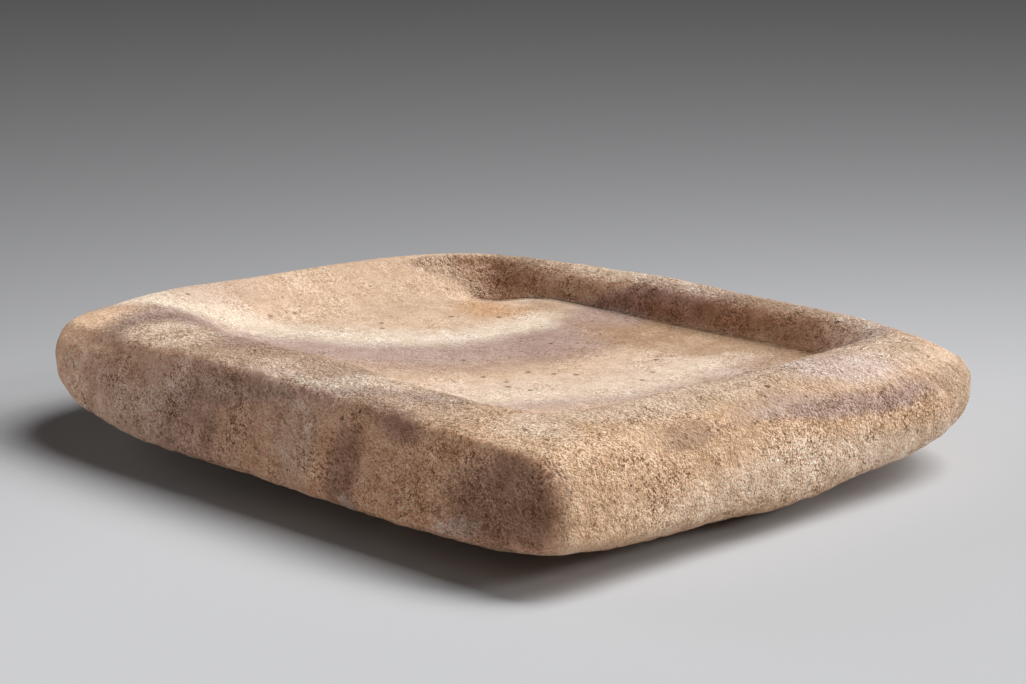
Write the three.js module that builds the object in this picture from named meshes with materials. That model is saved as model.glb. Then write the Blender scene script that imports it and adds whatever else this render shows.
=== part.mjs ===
// Grinding plate: one slab of coarse sandstone, pecked to a rounded oblong, with a dished
// grinding face sunk inside a raised rim and a pillow-shaped underside.
// Millimetres, +Z up, the long side along X. The slab stands on z = 0, on the small flat at the
// lowest part of its underside, and the origin is on that plane under the middle of its plan.
// Sides are named east (+X), north (+Y), west (-X) and south (-Y).

import * as THREE from 'three';

// Overall size: the widest outline, and the rim's highest point above the ground
const slabLength = 376;
const slabWidth = 305;
const rimHeight = 59.2;

// Underside: the flat it rests on, and how far the lower edge hangs above the ground
const padLength = 120;
const padWidth = 98;
const lowerEdgeHeight = 12.8;
const undersideCurve = 1.7;

// Lower edge: how far it lies in from the widest outline, and the worn bevel along it
const lowerEdgeInset = { east: 9.21, north: 10.5, west: 15.5, south: 0.8 };
const bevelWidth = 5.4;
const bevelOuterShare = 0.2;
const bevelRiseShare = 0.35;
const wallStartInsetShare = 0.26;
const wallStartRiseShare = 1.2;

// Outer wall: the height of its widest point
const girthHeight = 34.6;

// Rim: insets from the widest outline and drops below the crest, going up and then inward
const lowShoulderInset = { east: 5.74, north: 1.8, west: 1.01, south: 8.5 };
const lowShoulderDrop = { east: 10.5, north: 9.4, west: 13, south: 3.6 };
const highShoulderInset = { east: 17.5, north: 12.2, west: 15.3, south: 11.8 };
const highShoulderDrop = { east: 3.87, north: 4.5, west: 7.58, south: 0.9 };
const crestInset = { east: 36.5, north: 20, west: 21, south: 31 };
const lipInset = { east: 53, north: 31, west: 34, south: 50 };
const lipDrop = { east: 2.2, north: 2.4, west: 5, south: 2.6 };
const innerWallInset = { east: 60, north: 35, west: 50, south: 57.5 };
const innerWallDrop = { east: 8.5, north: 8.6, west: 11.5, south: 9 };
const lowWallInset = { east: 65, north: 37.8, west: 64, south: 64 };
const lowWallDrop = { east: 15, north: 16, west: 16, south: 16.5 };

// Grinding face: its depth below the rim's highest point, and the foot of the wall round it
const basinDepth = 24.4;
const basinFootInset = { east: 72, north: 46, west: 80, south: 72 };
const basinFootRise = 8;

// Hollow at the north-west end of the grinding face, which undercuts that end of the north wall:
// its middle, measured in from the widest outline, its reaches and its depth
const hollowInset = { west: 63, north: 50 };
const hollowReach = { along: 30, across: 17 };
const hollowDepth = 7.5;

// Shares of the lengths above at sixteen compass points, from east round by north
const lowerEdgeHeightShares = [
  0.49, 0.82, 1.4, 1.03, 0.71, 0.85, 1, 0.86, 0.72, 0.96, 1.4, 0.99, 1.03, 0.97, 0.98, 0.66,
];

// Shares at eight compass points
const crestHeightShares = [0.947, 0.952, 0.954, 0.907, 0.944, 0.993, 1, 0.955];
const girthHeightShares = [0.7, 1.19, 1, 0.99, 0.95, 1.26, 0.74, 0.6];
const basinFootRiseShares = [0.3, 0.4, 0.34, 0.6, 0.55, 0.7, 0.4, 0.4];

// Fullness of the outlines at the same eight points: 2 is an ellipse, higher is squarer
const wallFullness = [8, 5.56, 5.3, 5.1, 5.1, 5.01, 8, 24];
const lowerEdgeFullness = [5.11, 4.75, 4.35, 4.2, 4.2, 4.01, 6.98, 9.84];
const crestFullness = [7, 4.5, 5, 5.2, 4.4, 3.69, 7, 16];
const lipFullness = [8, 9, 7, 9, 4.6, 3.8, 6, 9];
const basinFullness = [5.5, 6.5, 6, 9.5, 4, 3.6, 4.6, 5.5];
const padFullness = 3;

// Counts and spacing of the surface points
const pointsRound = 120;
const stepsPerSpan = 2;
const cornerCrowding = 0.72;
const bellyShares = [0, 0.2, 0.4, 0.6, 0.8, 1];
const floorShares = [0.93, 0.78, 0.52, 0.26];

const sandstone = new THREE.MeshStandardMaterial({
  color: 0xd1b19b,
  roughness: 0.92,
  metalness: 0,
});

// A value that passes smoothly through equally spaced compass values, starting at east.
function around(values, angle) {
  const place = THREE.MathUtils.euclideanModulo(angle / (2 * Math.PI), 1) * values.length;
  const index = Math.floor(place) % values.length;
  const blend = (1 - Math.cos(Math.PI * (place - Math.floor(place)))) / 2;
  return THREE.MathUtils.lerp(values[index], values[(index + 1) % values.length], blend);
}

const sides = (sizes) => [sizes.east, sizes.north, sizes.west, sizes.south];

// The compass angles of the points round each ring, closer together at the corners
const angles = Array.from({ length: pointsRound }, (_, index) => {
  const turn = (2 * Math.PI * index) / pointsRound;
  return turn + (cornerCrowding * Math.sin(4 * turn)) / 4;
});

// One ring of the oblong whose four sides lie inside the widest outline by the given insets.
function ring(inset, fullness, height) {
  const reachAlong = { east: slabLength / 2 - inset.east, west: slabLength / 2 - inset.west };
  const reachAcross = { north: slabWidth / 2 - inset.north, south: slabWidth / 2 - inset.south };
  return angles.map((angle) => {
    const along = Math.cos(angle);
    const across = Math.sin(angle);
    const power = around(fullness, angle);
    const reach = (Math.abs(along) ** power + Math.abs(across) ** power) ** (-1 / power);
    const x = (along > 0 ? reachAlong.east : reachAlong.west) * along * reach;
    const y = (across > 0 ? reachAcross.north : reachAcross.south) * across * reach;
    return new THREE.Vector3(x, y, height(angle));
  });
}

// The same four insets scaled by a share and moved in by a further width.
function moved(inset, share, further) {
  return Object.fromEntries(
    Object.entries(inset).map(([side, size]) => [side, size * share + further]),
  );
}

const crestHeight = (angle) => rimHeight * around(crestHeightShares, angle);
const edgeHeight = (angle) => lowerEdgeHeight * around(lowerEdgeHeightShares, angle);
const floorHeight = rimHeight - basinDepth;
const footHeight = (angle) => floorHeight + basinFootRise * around(basinFootRiseShares, angle);
const below = (drop) => (angle) => crestHeight(angle) - around(sides(drop), angle);

// The same ring, sunk where it passes over the hollow.
function hollowed(points) {
  return points.map((point) => {
    const along = (point.x + slabLength / 2 - hollowInset.west) / hollowReach.along;
    const across = (point.y - slabWidth / 2 + hollowInset.north) / hollowReach.across;
    const sunk = hollowDepth * Math.exp(-(along ** 2) - across ** 2);
    return point.clone().setZ(point.z - sunk);
  });
}

// Underside rings: from the flat out to the lower edge, rising ever more steeply.
function bellyRings() {
  const padInset = {
    east: (slabLength - padLength) / 2,
    north: (slabWidth - padWidth) / 2,
    west: (slabLength - padLength) / 2,
    south: (slabWidth - padWidth) / 2,
  };
  const pad = ring(padInset, [padFullness], () => 0);
  const edge = ring(moved(lowerEdgeInset, 1, bevelWidth), lowerEdgeFullness, edgeHeight);
  return bellyShares.map((share) =>
    pad.map((inner, index) => {
      const point = inner.clone().lerp(edge[index], share);
      point.z = edge[index].z * share ** undersideCurve;
      return point;
    }),
  );
}

// Wall and rim rings: over the bevel, up the wall, over the crest and down to the basin.
function wallRings() {
  const bevelInset = moved(lowerEdgeInset, 1, bevelWidth * bevelOuterShare);
  const bevelTop = (angle) => edgeHeight(angle) + bevelWidth * bevelRiseShare;
  const wallInset = moved(lowerEdgeInset, wallStartInsetShare, 0);
  const wallStart = (angle) => edgeHeight(angle) + bevelWidth * wallStartRiseShare;
  const widestInset = moved(lowerEdgeInset, 0, 0);
  const girth = (angle) => girthHeight * around(girthHeightShares, angle);
  return [
    ring(bevelInset, lowerEdgeFullness, bevelTop),
    ring(wallInset, wallFullness, wallStart),
    ring(widestInset, wallFullness, girth),
    ring(lowShoulderInset, wallFullness, below(lowShoulderDrop)),
    ring(highShoulderInset, wallFullness, below(highShoulderDrop)),
    ring(crestInset, crestFullness, crestHeight),
    hollowed(ring(lipInset, lipFullness, below(lipDrop))),
    hollowed(ring(innerWallInset, lipFullness, below(innerWallDrop))),
    hollowed(ring(lowWallInset, basinFullness, below(lowWallDrop))),
    hollowed(ring(basinFootInset, basinFullness, footHeight)),
  ];
}

// The middle of the grinding face, halfway between the feet of the walls round it
const basinMiddle = new THREE.Vector3(
  (basinFootInset.west - basinFootInset.east) / 2,
  (basinFootInset.south - basinFootInset.north) / 2,
  floorHeight,
);

// Grinding face rings: a shallow dish from the foot of the wall down to the middle.
function floorRings() {
  const foot = ring(basinFootInset, basinFullness, footHeight);
  return floorShares.map((share) => {
    const dish = foot.map((outer) => {
      const point = basinMiddle.clone().lerp(outer, share);
      point.z = floorHeight + (outer.z - floorHeight) * share ** 2;
      return point;
    });
    return hollowed(dish);
  });
}

// More rings between the given ones, on a smooth curve through the points of each section.
function smoothed(rings) {
  const last = rings.length - 1;
  const curves = angles.map((_, index) =>
    new THREE.CatmullRomCurve3(rings.map((points) => points[index]), false, 'centripetal'),
  );
  return Array.from({ length: last * stepsPerSpan + 1 }, (_, step) =>
    curves.map((curve) => curve.getPoint(step / (last * stepsPerSpan))),
  );
}

// One closed skin: the flat, the rings in order, and the middle of the grinding face.
function slabGeometry() {
  const rings = smoothed([...bellyRings(), ...wallRings(), ...floorRings()]);
  const points = [new THREE.Vector3(), ...rings.flat(), basinMiddle];
  const at = (row, index) => 1 + row * pointsRound + (index % pointsRound);
  const faces = [];
  for (let index = 0; index < pointsRound; index += 1) {
    faces.push(0, at(0, index + 1), at(0, index));
    for (let row = 0; row < rings.length - 1; row += 1) {
      faces.push(at(row, index), at(row, index + 1), at(row + 1, index));
      faces.push(at(row, index + 1), at(row + 1, index + 1), at(row + 1, index));
    }
    faces.push(at(rings.length - 1, index), at(rings.length - 1, index + 1), points.length - 1);
  }
  const geometry = new THREE.BufferGeometry();
  geometry.setFromPoints(points);
  geometry.setIndex(faces);
  geometry.computeVertexNormals();
  return geometry;
}

const grindingPlate = new THREE.Group();
const stonePlate = new THREE.Mesh(slabGeometry(), sandstone);
stonePlate.name = 'stone_plate';
grindingPlate.add(stonePlate);

export default grindingPlate;
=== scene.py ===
import math

import bmesh
import bpy
import numpy as np
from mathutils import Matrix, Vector, noise


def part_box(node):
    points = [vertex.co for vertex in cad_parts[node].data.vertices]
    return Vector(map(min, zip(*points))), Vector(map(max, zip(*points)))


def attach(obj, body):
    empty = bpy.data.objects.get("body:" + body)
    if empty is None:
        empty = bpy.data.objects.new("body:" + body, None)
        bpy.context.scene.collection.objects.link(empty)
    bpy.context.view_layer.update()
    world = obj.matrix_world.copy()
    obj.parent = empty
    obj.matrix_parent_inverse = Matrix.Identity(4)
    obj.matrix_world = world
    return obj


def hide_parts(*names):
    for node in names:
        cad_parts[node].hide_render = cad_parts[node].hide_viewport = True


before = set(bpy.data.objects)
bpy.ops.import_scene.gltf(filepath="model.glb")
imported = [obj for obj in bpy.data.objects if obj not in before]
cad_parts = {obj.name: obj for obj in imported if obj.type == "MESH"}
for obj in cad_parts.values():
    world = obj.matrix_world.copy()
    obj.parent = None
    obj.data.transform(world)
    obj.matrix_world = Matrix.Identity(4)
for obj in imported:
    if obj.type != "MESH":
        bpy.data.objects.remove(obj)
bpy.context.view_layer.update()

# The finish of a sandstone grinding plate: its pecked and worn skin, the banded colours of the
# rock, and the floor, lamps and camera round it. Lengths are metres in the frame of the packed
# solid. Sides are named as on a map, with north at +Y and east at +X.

MM = 0.001
slab_low, slab_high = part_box("stone_plate")
slab_size = slab_high - slab_low

# The camera: its turn from -Y towards +X and its height angle, in degrees
CAMERA_TURN = 46.18
CAMERA_RISE = 14.02
CAMERA_LENS = 91.2
CAMERA_SENSOR = 36.0
CAMERA_DISTANCE_SHARE = 3.215
CAMERA_CENTRE_SHARES = (0.5, 0.5, 0.455)
AIM_SHARES = (0.502, 0.526, 0.782)

# The stone's colours, as linear red, green and blue
TAN = (0.60, 0.42, 0.29)
WARM_TAN = (0.67, 0.475, 0.335)
CREAM = (0.74, 0.585, 0.45)
PALE_CREAM = (0.78, 0.64, 0.505)
MAUVE = (0.46, 0.325, 0.268)
DUSKY_TAN = (0.49, 0.33, 0.24)
PINK_CREAM = (0.73, 0.545, 0.415)
SOFT_MAUVE = (0.55, 0.40, 0.32)
BROWN = (0.36, 0.225, 0.16)
ORANGE = (0.57, 0.335, 0.185)
GOLD_TAN = (0.81, 0.545, 0.35)
# Painted shade: a brown that darkens the north wall and the floor at its foot, where shade falls
PAINTED_SHADE_BROWN = (0.40, 0.235, 0.13)
# Painted shade: a dark brown for shaded parts of the north wall and of the south-east corner
PAINTED_SHADE_UMBER = (0.34, 0.22, 0.15)
LILAC_CREAM = (0.86, 0.68, 0.60)
CHALK = (0.72, 0.655, 0.59)
WARM_CREAM = (0.86, 0.655, 0.485)
DEEP_MAUVE = (0.36, 0.235, 0.19)
ROSE_MAUVE = (0.50, 0.35, 0.30)


def at_share(along, across, up):
    """The point at these shares of the slab's box, from its lowest corner."""
    shares = (along, across, up)
    return Vector(low + size * share for low, size, share in zip(slab_low, slab_size, shares))


def direction(turn, rise):
    """The unit vector towards a turn from -Y to +X and a height angle, in degrees."""
    turn, rise = math.radians(turn), math.radians(rise)
    return Vector((math.sin(turn) * math.cos(rise), -math.cos(turn) * math.cos(rise), math.sin(rise)))


def smooth_step(low, high, value):
    """0 below low, 1 above high and a smooth climb between them, for arrays."""
    share = np.clip((value - low) / (high - low), 0, 1)
    return share * share * (3 - 2 * share)


# The skin: even small faces over the solid's shape
FACE_SIZE = 1.85 * MM
WELD_GAP = 0.01 * MM
ROUNDING_LEVELS = 2
SMOOTHING_SHARE = 0.5
SMOOTHING_TIMES = 2


def square_faces(mesh):
    """Welds the solid's triangles and joins them in pairs."""
    shape = bmesh.new()
    shape.from_mesh(mesh)
    bmesh.ops.remove_doubles(shape, verts=shape.verts, dist=WELD_GAP)
    bmesh.ops.join_triangles(
        shape, faces=shape.faces, angle_face_threshold=math.pi, angle_shape_threshold=math.pi,
    )
    shape.to_mesh(mesh)
    shape.free()


def fine_skin(node, name):
    """A copy of a solid, rounded between its facets and remeshed to small even faces."""
    coarse = bpy.data.objects.new(name, node.data.copy())
    bpy.context.scene.collection.objects.link(coarse)
    square_faces(coarse.data)
    rounding = coarse.modifiers.new("rounding", "SUBSURF")
    rounding.levels = ROUNDING_LEVELS
    remesh = coarse.modifiers.new("remesh", "REMESH")
    remesh.mode = "VOXEL"
    remesh.voxel_size = FACE_SIZE
    smoothing = coarse.modifiers.new("smoothing", "SMOOTH")
    smoothing.factor = SMOOTHING_SHARE
    smoothing.iterations = SMOOTHING_TIMES
    finished = coarse.evaluated_get(bpy.context.evaluated_depsgraph_get())
    skin = bpy.data.meshes.new_from_object(finished)
    coarse.modifiers.clear()
    coarse.data = skin
    coarse.data.materials.clear()
    return coarse


def read_vectors(elements, field):
    """One three-number field of every vertex, as an array."""
    values = np.empty(len(elements) * 3, dtype=np.float32)
    elements.foreach_get(field, values)
    return values.reshape(-1, 3).astype(float)


# Wear: the grinding face is rubbed smooth, the top of the rim less except at its west end, and
# the walls are not
FACE_TOP = 44 * MM
RIM_BOTTOM = 56 * MM
RIM_WEAR = 0.28
WEST_RIM_WEAR = 0.95
WEST_RIM_START_SHARE = 0.22
WEST_RIM_END_SHARE = 0.08
STEEP_UP_SHARE = 0.78
FLAT_UP_SHARE = 0.95


def worn_share(points, normals):
    """How far each point has been rubbed smooth: 1 on the grinding face, 0 on a pecked wall."""
    along = (points[:, 0] - slab_low.x) / slab_size.x
    west = smooth_step(1 - WEST_RIM_START_SHARE, 1 - WEST_RIM_END_SHARE, 1 - along)
    rim_wear = RIM_WEAR + (WEST_RIM_WEAR - RIM_WEAR) * west
    wear = 1 - (1 - rim_wear) * smooth_step(FACE_TOP, RIM_BOTTOM, points[:, 2])
    return wear * smooth_step(STEEP_UP_SHARE, FLAT_UP_SHARE, normals[:, 2])


# Relief of the skin: each row is the size of its swellings, their height, and the share of the
# height that is left where the stone is worn
RELIEF = (
    (70 * MM, 0.8 * MM, 0.45),
    (24 * MM, 0.60 * MM, 0.25),
    (9 * MM, 0.60 * MM, 0.12),
    (4.5 * MM, 0.42 * MM, 0.08),
)
RELIEF_SHIFT = Vector((3.7, 1.9, 8.3))

# Smoothing draws the skin in, so it is let out again
LET_OUT = 0.40 * MM


def roughen(skin):
    """Moves the skin in and out by its relief and keeps it above the ground it rests on."""
    mesh = skin.data
    points = read_vectors(mesh.vertices, "co")
    normals = read_vectors(mesh.vertex_normals, "vector")
    worn = worn_share(points, normals)
    height = np.full(len(points), LET_OUT)
    for size, depth, worn_depth_share in RELIEF:
        swell = np.array([noise.noise(Vector(point) / size + RELIEF_SHIFT) for point in points])
        height += swell * depth * (1 - worn * (1 - worn_depth_share))
    points += normals * height[:, None]
    points[:, 2] = np.maximum(points[:, 2], slab_low.z)
    mesh.vertices.foreach_set("co", points.astype(np.float32).ravel())
    wear = mesh.attributes.new("worn", "FLOAT", "POINT")
    wear.data.foreach_set("value", worn.astype(np.float32))
    mesh.polygons.foreach_set("use_smooth", np.ones(len(mesh.polygons), dtype=bool))
    mesh.update()


# Shader building
def add(tree, kind, inputs=None, **settings):
    """A new shader node with its settings, and its inputs set or linked."""
    made = tree.nodes.new(kind)
    for name, value in settings.items():
        setattr(made, name, value)
    for name, value in (inputs or {}).items():
        feed(tree, made.inputs[name], value)
    return made


def feed(tree, socket, value):
    """Links a socket to another one, or gives it a plain value."""
    if isinstance(value, bpy.types.NodeSocket):
        tree.links.new(value, socket)
    else:
        socket.default_value = value


def maths(tree, operation, first, second):
    """One sum of two numbers."""
    return add(tree, "ShaderNodeMath", {0: first, 1: second}, operation=operation).outputs[0]


def vector_maths(tree, operation, first, second):
    """One sum of two vectors."""
    return add(tree, "ShaderNodeVectorMath", {0: first, 1: second}, operation=operation).outputs[0]


def length(tree, vector):
    """The length of a vector."""
    return add(tree, "ShaderNodeVectorMath", {0: vector}, operation="LENGTH").outputs["Value"]


def scaled(tree, vector, factor):
    """A vector or colour times a number."""
    return add(tree, "ShaderNodeVectorMath", {0: vector, "Scale": factor}, operation="SCALE").outputs[0]


def span(tree, value, low, high, to_low=0.0, to_high=1.0, smooth=True):
    """A number carried from one span to another, held at the ends."""
    kind = "SMOOTHSTEP" if smooth else "LINEAR"
    inputs = {"Value": value, "From Min": low, "From Max": high, "To Min": to_low, "To Max": to_high}
    return add(tree, "ShaderNodeMapRange", inputs, interpolation_type=kind).outputs[0]


# The mix node's sockets for a share and for colours, by number because several have one name
MIX_SHARE_INPUT = 0
MIX_COLOUR_INPUTS = (6, 7)
MIX_COLOUR_OUTPUT = 2


def mixed(tree, share, first, second):
    """Two colours mixed by a share."""
    made = add(tree, "ShaderNodeMix", data_type="RGBA")
    feed(tree, made.inputs[MIX_SHARE_INPUT], share)
    for number, value in zip(MIX_COLOUR_INPUTS, (first, second)):
        colour = value if isinstance(value, bpy.types.NodeSocket) else (*value, 1.0)
        feed(tree, made.inputs[number], colour)
    return made.outputs[MIX_COLOUR_OUTPUT]


def clouds(tree, place, size, detail=2.0, rough=0.5):
    """Noise with swellings of one size: its value, about 0 to 1, and its colour."""
    inputs = {"Vector": place, "Scale": 1 / size, "Detail": detail, "Roughness": rough}
    made = add(tree, "ShaderNodeTexNoise", inputs)
    return made.outputs["Fac"], made.outputs["Color"]


def new_material(name):
    """A material with an empty tree, and that tree."""
    material = bpy.data.materials.new(name)
    material.use_nodes = True
    material.node_tree.nodes.clear()
    return material, material.node_tree


# The bands: rings through the rock round an upright line near the north-west corner. Each row is a
# distance from that line and the colour there.
BAND_CENTRE_SHARES = (0.101, 0.697, 0.0)
BANDS = (
    (0 * MM, TAN),
    (62 * MM, WARM_TAN),
    (80 * MM, CREAM),
    (98 * MM, PALE_CREAM),
    (116 * MM, MAUVE),
    (136 * MM, MAUVE),
    (156 * MM, DUSKY_TAN),
    (176 * MM, WARM_TAN),
    (198 * MM, PINK_CREAM),
    (222 * MM, CREAM),
    (236 * MM, SOFT_MAUVE),
    (252 * MM, WARM_TAN),
    (300 * MM, GOLD_TAN),
)
BAND_REACH = 400 * MM
LEVEL_ONLY = (1.0, 1.0, 0.0)
BAND_LEAN_START_SHARE = 0.63
BAND_LEAN = 2.5

# How the edges of the bands, stains and patches of painted light wander, slowly over a long way and
# quickly over a short one
WANDER_SIZE = 65 * MM
WANDER = 26 * MM
WANDER_DETAIL = 1.0
FRAY_SIZE = 9 * MM
FRAY = 9 * MM
FRAY_DETAIL = 3.0
FRAY_ROUGHNESS = 0.65
NOISE_MIDDLE = (0.5, 0.5, 0.5)


def wandering(tree, place):
    """The place, pushed about so that no band, stain or patch of painted light has an even edge."""
    slow = clouds(tree, place, WANDER_SIZE, WANDER_DETAIL)[1]
    quick = clouds(tree, place, FRAY_SIZE, FRAY_DETAIL, FRAY_ROUGHNESS)[1]
    far = scaled(tree, vector_maths(tree, "SUBTRACT", slow, NOISE_MIDDLE), WANDER)
    near = scaled(tree, vector_maths(tree, "SUBTRACT", quick, NOISE_MIDDLE), FRAY)
    return vector_maths(tree, "ADD", vector_maths(tree, "ADD", place, far), near)


def band_colour(tree, place):
    """The colour of the band that a place lies in. The bands lean outward above the grinding face."""
    offset = vector_maths(tree, "SUBTRACT", place, at_share(*BAND_CENTRE_SHARES))
    distance = length(tree, vector_maths(tree, "MULTIPLY", offset, LEVEL_ONLY))
    height = add(tree, "ShaderNodeSeparateXYZ", {0: place}).outputs["Z"]
    lean_start = slab_high.z * BAND_LEAN_START_SHARE
    above = maths(tree, "MAXIMUM", maths(tree, "SUBTRACT", height, lean_start), 0.0)
    distance = maths(tree, "SUBTRACT", distance, maths(tree, "MULTIPLY", above, BAND_LEAN))
    ramp = add(tree, "ShaderNodeValToRGB", {"Fac": maths(tree, "DIVIDE", distance, BAND_REACH)})
    stops = ramp.color_ramp.elements
    stops.remove(stops[1])
    for index, (reach, colour) in enumerate(BANDS):
        stop = stops[0] if index == 0 else stops.new(reach / BAND_REACH)
        stop.position = reach / BAND_REACH
        stop.color = (*colour, 1.0)
    return ramp.outputs["Color"]


# Stains, and patches of painted shade and painted light: each row is a middle and reaches, as shares of
# the slab's box, a strength and a colour
STAINS_AND_PAINTED_LIGHT = (
    # Painted light: the lower east face is painted paler, for light that its downward-turned shape does
    # not catch
    ((0.99, 0.58, 0.38), (0.12, 0.58, 0.30), 0.85, WARM_CREAM),
    ((0.77, 0.00, 0.60), (0.14, 0.08, 0.60), 0.35, TAN),
    ((0.98, 0.61, 0.80), (0.055, 0.30, 0.12), 0.80, ROSE_MAUVE),
    ((0.965, 0.48, 0.83), (0.06, 0.14, 0.13), 0.65, SOFT_MAUVE),
    ((0.925, 0.68, 0.94), (0.065, 0.16, 0.18), 0.80, LILAC_CREAM),
    ((0.91, 0.82, 0.96), (0.06, 0.13, 0.16), 0.70, WARM_CREAM),
    ((0.91, 0.34, 0.98), (0.07, 0.27, 0.18), 0.85, WARM_CREAM),
    ((0.975, 0.29, 0.82), (0.05, 0.08, 0.11), 0.60, BROWN),
    ((0.70, 0.03, 0.90), (0.05, 0.06, 0.13), 0.70, BROWN),
    ((0.75, 0.03, 0.87), (0.05, 0.07, 0.15), 0.80, BROWN),
    ((0.83, 0.14, 0.97), (0.08, 0.07, 0.30), 0.40, GOLD_TAN),
    ((0.89, 0.13, 0.96), (0.09, 0.12, 0.13), 0.80, WARM_CREAM),
    ((0.97, 0.89, 0.75), (0.08, 0.13, 0.35), 0.65, PINK_CREAM),
    ((0.68, 0.00, 0.42), (0.045, 0.08, 0.46), 0.80, BROWN),
    # Painted shade: darker on the south side of the south-east corner, so its shaded side reaches
    # further round
    ((0.925, 0.00, 0.53), (0.12, 0.055, 0.55), 0.92, PAINTED_SHADE_UMBER),
    # Painted shade: darker along the foot of the north wall and on the floor beside it, where the
    # wall's shade falls
    ((0.58, 0.84, 0.62), (0.34, 0.16, 0.17), 0.75, PAINTED_SHADE_BROWN),
    ((0.595, 0.00, 0.58), (0.05, 0.08, 0.50), 0.65, PALE_CREAM),
    ((0.55, 0.11, 0.98), (0.09, 0.07, 0.30), 0.40, DUSKY_TAN),
    ((0.655, 0.14, 0.97), (0.07, 0.06, 0.30), 0.80, WARM_CREAM),
    ((0.475, 0.03, 0.89), (0.10, 0.07, 0.16), 0.65, BROWN),
    ((0.41, 0.01, 0.60), (0.06, 0.08, 0.60), 0.35, MAUVE),
    ((0.29, 0.10, 0.97), (0.10, 0.09, 0.30), 0.85, WARM_CREAM),
    ((0.10, 0.08, 0.90), (0.10, 0.13, 0.40), 0.90, GOLD_TAN),
    ((0.14, 0.00, 0.62), (0.10, 0.10, 0.55), 0.75, WARM_CREAM),
    ((0.275, 0.755, 0.70), (0.09, 0.085, 0.30), 0.90, ORANGE),
    ((0.46, 0.66, 0.61), (0.12, 0.10, 0.20), 0.55, DEEP_MAUVE),
    ((0.42, 0.86, 0.60), (0.09, 0.10, 0.20), 0.70, MAUVE),
    # Painted shade: the west end of the north wall's inner face, in shade under its undercut, is
    # painted darker
    ((0.20, 0.89, 0.80), (0.10, 0.07, 0.35), 0.45, PAINTED_SHADE_UMBER),
    # Painted shade: the east part of the north wall's inner face, which lies in shade, is painted
    # darker
    ((0.70, 0.88, 0.76), (0.17, 0.06, 0.30), 0.60, PAINTED_SHADE_BROWN),
    # Painted shade: darker along the west part of the north wall's foot, where the wall's shade falls
    ((0.29, 0.83, 0.65), (0.10, 0.07, 0.12), 0.65, PAINTED_SHADE_BROWN),
    ((0.42, 0.93, 0.95), (0.24, 0.06, 0.20), 0.70, WARM_CREAM),
    ((0.76, 0.95, 0.95), (0.20, 0.05, 0.16), 0.50, LILAC_CREAM),
    ((0.09, 0.34, 0.95), (0.07, 0.14, 0.20), 0.50, SOFT_MAUVE),
    ((0.86, 0.01, 0.30), (0.06, 0.06, 0.11), 0.50, CHALK),
    ((0.69, 0.00, 0.30), (0.02, 0.06, 0.09), 0.55, CHALK),
)
MARK_CORE_SHARE = 0.35


def stained_and_painted(tree, place, colour):
    """The colour with every stain and every patch of painted shade or painted light laid over it."""
    for middle_shares, reach_shares, strength, mark_colour in STAINS_AND_PAINTED_LIGHT:
        offset = vector_maths(tree, "SUBTRACT", place, at_share(*middle_shares))
        reach = Vector(size * share for size, share in zip(slab_size, reach_shares))
        distance = length(tree, vector_maths(tree, "DIVIDE", offset, reach))
        cover = span(tree, distance, 1.0, MARK_CORE_SHARE, 0.0, strength)
        colour = mixed(tree, cover, colour, mark_colour)
    return colour


# Mottling: each row is the size of the marks and how much lighter or darker they are
MOTTLES = (
    (30 * MM, 0.30),
    (9 * MM, 0.44),
    (3.5 * MM, 0.32),
)
WORN_MOTTLE_SHARE = 0.5

# Grains of sand: the same, for marks that each have one shade of their own
GRAINS = (
    (1.7 * MM, 0.10),
    (1.0 * MM, 0.19),
    (0.6 * MM, 0.38),
)
WORN_GRAIN_SHARE = 0.70
DARKEST_GRAIN = 0.15

# Patches where the grains stand out and patches where they hardly show
PATCH_SIZE = 22 * MM
PATCH_NOISE_SPAN = (0.35, 0.65)
PATCH_SHARES = (0.55, 1.45)

# A dark grain is warmer than a pale one: the powers of red, green and blue
GRAIN_POWERS = (0.85, 1.05, 1.32)

# Unworn stone is paler and warmer than the rubbed face
FRESH_TINT = (1.16, 1.11, 1.08)

# Painted shade: the faces that look south, which lie in shade, are painted warmer. The northward part
# of their direction where this painted shade starts and where it is full
SHADED_SOUTH_SPAN = (-0.35, -0.85)
PAINTED_SHADE_WARMTH = (1.22, 1.05, 1.00)

# Pits: each row is the spacing of the places where one may be, how many of those hold one on the
# pecked and on the worn stone, and the widest pit's breadth
PITS = (
    (8.5 * MM, 0.50, 0.12, 0.21),
    (3.1 * MM, 0.55, 0.06, 0.26),
)
PIT_DARKNESS_SHARE = 0.7
PIT_DEPTH = 1.1 * MM
PIT_COLOUR = (0.20, 0.115, 0.07)

# The small dark pits that stand out on the grinding face and the south wall
DARK_PIT_PLACE_SHARES = (
    (0.61, 0.70, 0.60),
    (0.65, 0.64, 0.60),
    (0.67, 0.59, 0.60),
    (0.59, 0.55, 0.59),
    (0.54, 0.51, 0.59),
    (0.44, 0.49, 0.59),
    (0.56, 0.44, 0.59),
    (0.58, 0.42, 0.60),
    (0.61, 0.43, 0.60),
    (0.31, 0.72, 0.63),
    (0.27, 0.66, 0.64),
    (0.26, 0.52, 0.64),
    (0.24, 0.54, 0.65),
    (0.15, 0.45, 0.71),
    (0.15, 0.40, 0.73),
    (0.27, 0.00, 0.39),
    (0.63, 0.01, 0.54),
    (0.83, 0.00, 0.42),
)
DARK_PIT_REACH = 2.4 * MM

# Bump: size and height of the peck marks and of the grains
PECK_SIZE = 5.5 * MM
PECK_DEPTH = 5.2 * MM
PECK_DETAIL = 6.0
PECK_ROUGHNESS = 0.76
COARSE_GRAIN_SIZE = 2.0 * MM
COARSE_GRAIN_DEPTH = 1.1 * MM
FINE_GRAIN_SIZE = 0.9 * MM
FINE_GRAIN_DEPTH = 0.85 * MM
WORN_BUMP_SHARE = 0.085

STONE_ROUGHNESS = 0.92
STONE_SHINE = 0.2


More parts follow.
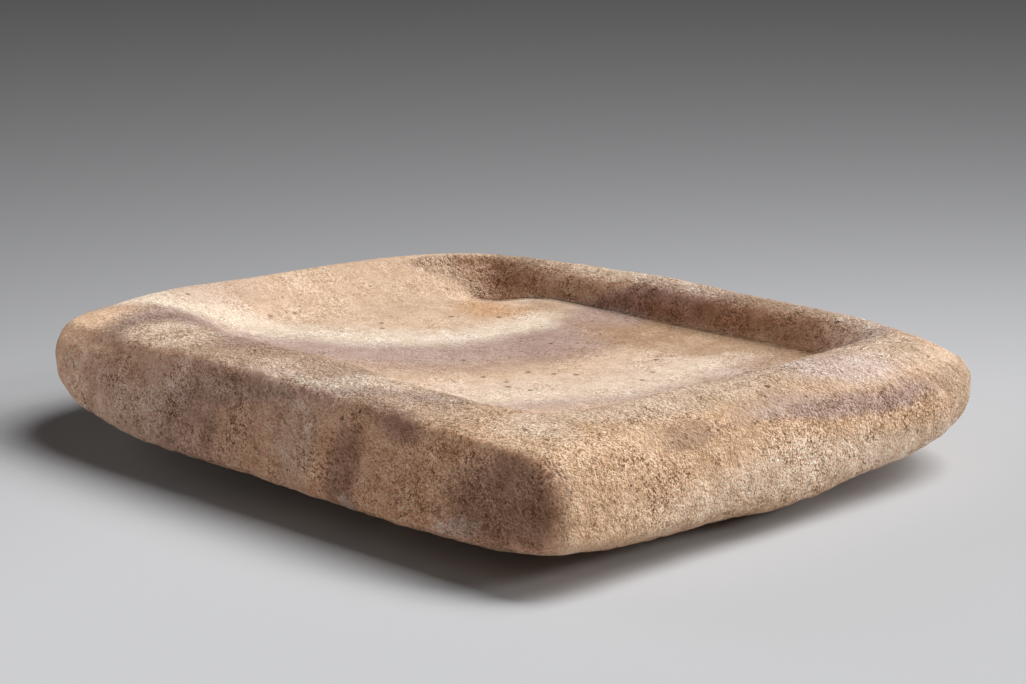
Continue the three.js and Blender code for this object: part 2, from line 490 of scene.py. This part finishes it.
def grains(tree, place, size):
    """Close-packed grains of one size: a shade of its own in each, and the distance from its middle."""
    made = add(tree, "ShaderNodeTexVoronoi", {"Vector": place, "Scale": 1 / size, "Randomness": 1.0})
    shade = add(tree, "ShaderNodeSeparateColor", {"Color": made.outputs["Color"]}).outputs[0]
    return shade, made.outputs["Distance"]


def swung(tree, value, share):
    """A number between 0 and 1 turned into a swing of this share up or down."""
    return maths(tree, "MULTIPLY", maths(tree, "SUBTRACT", value, 0.5), 2 * share)


def left_by_wear(tree, worn, share):
    """1 on unworn stone, falling to this share where it is rubbed smooth."""
    return span(tree, worn, 0.0, 1.0, 1.0, share)


def brightness(tree, place, worn):
    """How much lighter or darker the rock is at each place, about 1."""
    sand = 0.0
    for size, share in GRAINS:
        sand = maths(tree, "ADD", sand, swung(tree, grains(tree, place, size)[0], share))
    patches = span(tree, clouds(tree, place, PATCH_SIZE)[0], *PATCH_NOISE_SPAN, *PATCH_SHARES)
    sand = maths(tree, "MULTIPLY", sand, patches)
    sand = maths(tree, "MULTIPLY", sand, left_by_wear(tree, worn, WORN_GRAIN_SHARE))
    mottling = 0.0
    for size, share in MOTTLES:
        mottling = maths(tree, "ADD", mottling, swung(tree, clouds(tree, place, size)[0], share))
    mottling = maths(tree, "MULTIPLY", mottling, left_by_wear(tree, worn, WORN_MOTTLE_SHARE))
    total = maths(tree, "ADD", maths(tree, "ADD", sand, mottling), 1.0)
    total = maths(tree, "MAXIMUM", total, DARKEST_GRAIN)
    powers = [maths(tree, "POWER", total, power) for power in GRAIN_POWERS]
    return add(tree, "ShaderNodeCombineXYZ", dict(enumerate(powers))).outputs[0]


def relief(tree, place, worn):
    """The height of the peck marks and grains, lower where the stone is worn."""
    pecks = clouds(tree, place, PECK_SIZE, PECK_DETAIL, PECK_ROUGHNESS)[0]
    total = maths(tree, "MULTIPLY", pecks, PECK_DEPTH)
    for size, depth in ((COARSE_GRAIN_SIZE, COARSE_GRAIN_DEPTH), (FINE_GRAIN_SIZE, FINE_GRAIN_DEPTH)):
        domes = maths(tree, "MULTIPLY", grains(tree, place, size)[1], depth)
        total = maths(tree, "SUBTRACT", total, domes)
    return maths(tree, "MULTIPLY", total, left_by_wear(tree, worn, WORN_BUMP_SHARE))


def pits(tree, place, worn):
    """1 at the middle of each pit, 0 away from them."""
    nearest = DARK_PIT_REACH
    for shares in DARK_PIT_PLACE_SHARES:
        away = add(tree, "ShaderNodeVectorMath", {0: place, 1: at_share(*shares)}, operation="DISTANCE")
        nearest = maths(tree, "MINIMUM", away.outputs["Value"], nearest)
    depth = span(tree, nearest, DARK_PIT_REACH, 0.0)
    for spacing, chance_share, worn_chance_share, breadth_share in PITS:
        chosen, distance = grains(tree, place, spacing)
        least = span(tree, worn, 0.0, 1.0, 1 - chance_share, 1 - worn_chance_share)
        breadth = span(tree, chosen, least, 1.0, 0.0, breadth_share, smooth=False)
        inside = maths(tree, "SUBTRACT", breadth, distance)
        depth = maths(tree, "MAXIMUM", depth, span(tree, inside, 0.0, breadth_share / 2))
    return depth


def stone_material():
    """Banded sandstone: pecked and grainy, rubbed smoother where the plate is worn."""
    material, tree = new_material("sandstone")
    place = add(tree, "ShaderNodeTexCoord").outputs["Object"]
    worn = add(tree, "ShaderNodeAttribute", attribute_name="worn").outputs["Fac"]
    wandered = wandering(tree, place)
    colour = stained_and_painted(tree, wandered, band_colour(tree, wandered))

    normal = add(tree, "ShaderNodeNewGeometry").outputs["Normal"]
    northward = add(tree, "ShaderNodeSeparateXYZ", {0: normal}).outputs["Y"]
    # Painted shade: a warmer colour on the faces that look south, which lie in shade
    painted_shade_south = span(tree, northward, *SHADED_SOUTH_SPAN)
    colour = mixed(tree, worn, vector_maths(tree, "MULTIPLY", colour, FRESH_TINT), colour)
    colour = mixed(tree, painted_shade_south, colour, vector_maths(tree, "MULTIPLY", colour, PAINTED_SHADE_WARMTH))
    colour = vector_maths(tree, "MULTIPLY", colour, brightness(tree, place, worn))
    pit = pits(tree, place, worn)
    colour = mixed(tree, maths(tree, "MULTIPLY", pit, PIT_DARKNESS_SHARE), colour, PIT_COLOUR)

    height = maths(tree, "SUBTRACT", relief(tree, place, worn), maths(tree, "MULTIPLY", pit, PIT_DEPTH))
    bump = add(tree, "ShaderNodeBump", {"Strength": 1.0, "Distance": 1.0, "Height": height})

    shader = add(tree, "ShaderNodeBsdfPrincipled", {
        "Base Color": colour,
        "Roughness": STONE_ROUGHNESS,
        "Specular IOR Level": STONE_SHINE,
        "Normal": bump.outputs[0],
    })
    add(tree, "ShaderNodeOutputMaterial", {"Surface": shader.outputs[0]})
    return material


def dress_slab():
    """The slab's finished skin, in place of the plain solid."""
    skin = fine_skin(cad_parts["stone_plate"], "stone_skin")
    roughen(skin)
    skin.data.materials.append(stone_material())
    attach(skin, "root")
    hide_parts("stone_plate")


# The stage: a pale floor, painted darker beyond the lit place as a painted pool of light that falls
# away to grey
FLOOR_RADIUS = 9.0
FLOOR_SIDES = 96
FLOOR_COLOUR = (0.545, 0.548, 0.560)
FLOOR_LIT_TURN = 80.0
FLOOR_LIT_DISTANCE = 0.54
FLOOR_LIT_REACH = 0.50
FLOOR_SOFTNESS = 0.50
FLOOR_HALVING = 0.31
FAR_GREY = 0.10
ROOM_LIGHT = 0.005


def make_floor():
    """A round floor at the height the slab rests on."""
    shape = bmesh.new()
    bmesh.ops.create_circle(shape, cap_ends=True, segments=FLOOR_SIDES, radius=FLOOR_RADIUS)
    mesh = bpy.data.meshes.new("floor")
    shape.to_mesh(mesh)
    shape.free()
    floor = bpy.data.objects.new("floor", mesh)
    floor.location.z = slab_low.z
    bpy.context.scene.collection.objects.link(floor)
    material, tree = new_material("floor_paper")
    place = add(tree, "ShaderNodeTexCoord").outputs["Object"]
    # Painted light: the floor's colour falls off with distance beyond the lit place
    lit_place = direction(FLOOR_LIT_TURN, 0.0) * FLOOR_LIT_DISTANCE
    offset = vector_maths(tree, "SUBTRACT", place, lit_place)
    past_lit = maths(tree, "SUBTRACT", length(tree, offset), FLOOR_LIT_REACH)
    beyond = maths(tree, "MAXIMUM", past_lit, 0.0)
    squared = maths(tree, "POWER", beyond, 2.0)
    softened = maths(tree, "DIVIDE", squared, maths(tree, "ADD", beyond, FLOOR_SOFTNESS))
    halvings = maths(tree, "DIVIDE", softened, FLOOR_HALVING)
    light_share = maths(tree, "DIVIDE", 1.0, maths(tree, "ADD", halvings, 1.0))
    painted_light_grey = scaled(tree, FLOOR_COLOUR, light_share)
    shader = add(tree, "ShaderNodeBsdfDiffuse", {"Color": painted_light_grey, "Roughness": 0.0})
    add(tree, "ShaderNodeOutputMaterial", {"Surface": shader.outputs[0]})
    mesh.materials.append(material)


def make_room():
    """Faint light from all round, and the grey that the camera sees past the floor."""
    world = bpy.data.worlds.new("room")
    bpy.context.scene.world = world
    world.use_nodes = True
    tree = world.node_tree
    tree.nodes.clear()
    rays = add(tree, "ShaderNodeLightPath").outputs
    seen = rays["Is Camera Ray"]
    for kind in ("Is Glossy Ray", "Is Transmission Ray"):
        seen = maths(tree, "MAXIMUM", seen, rays[kind])
    strength = span(tree, seen, 0.0, 1.0, ROOM_LIGHT, FAR_GREY, smooth=False)
    white = (1.0, 1.0, 1.0, 1.0)
    background = add(tree, "ShaderNodeBackground", {"Color": white, "Strength": strength})
    add(tree, "ShaderNodeOutputWorld", {"Surface": background.outputs[0]})


# The lamps: each row is a turn from the camera towards its right, a height angle, the light that
# it sheds on a face square to it, and the breadth of its soft edge in degrees
LAMPS = {
    "key_lamp": (109.0, 60.0, 0.75, 34.0),
    "side_lamp": (90.0, 43.0, 0.42, 24.0),
    "low_lamp": (72.0, 26.0, 0.28, 13.0),
    "back_lamp": (236.0, 14.0, 0.22, 40.0),
    "fill_lamp": (-80.0, 2.5, 0.158, 7.0),
}


def make_lamps():
    """Soft even lamps, mostly from the camera's right."""
    for name, (turn, rise, light, breadth) in LAMPS.items():
        lamp = bpy.data.lights.new(name, "SUN")
        lamp.energy = math.pi * light
        lamp.angle = math.radians(breadth)
        holder = bpy.data.objects.new(name, lamp)
        holder.rotation_euler = direction(CAMERA_TURN + turn, rise).to_track_quat("Z", "Y").to_euler()
        bpy.context.scene.collection.objects.link(holder)


def make_camera():
    """The camera, low over the slab's south-east corner."""
    data = bpy.data.cameras.new("camera")
    data.lens = CAMERA_LENS
    data.sensor_width = CAMERA_SENSOR
    camera = bpy.data.objects.new("camera", data)
    bpy.context.scene.collection.objects.link(camera)
    centre = at_share(*CAMERA_CENTRE_SHARES)
    distance = slab_size.x * CAMERA_DISTANCE_SHARE
    camera.location = centre + direction(CAMERA_TURN, CAMERA_RISE) * distance
    aim = at_share(*AIM_SHARES)
    camera.rotation_euler = (aim - camera.location).to_track_quat("-Z", "Y").to_euler()
    bpy.context.scene.camera = camera


make_camera()
dress_slab()
make_floor()
make_room()
make_lamps()
bpy.context.scene.view_settings.view_transform = "Standard"
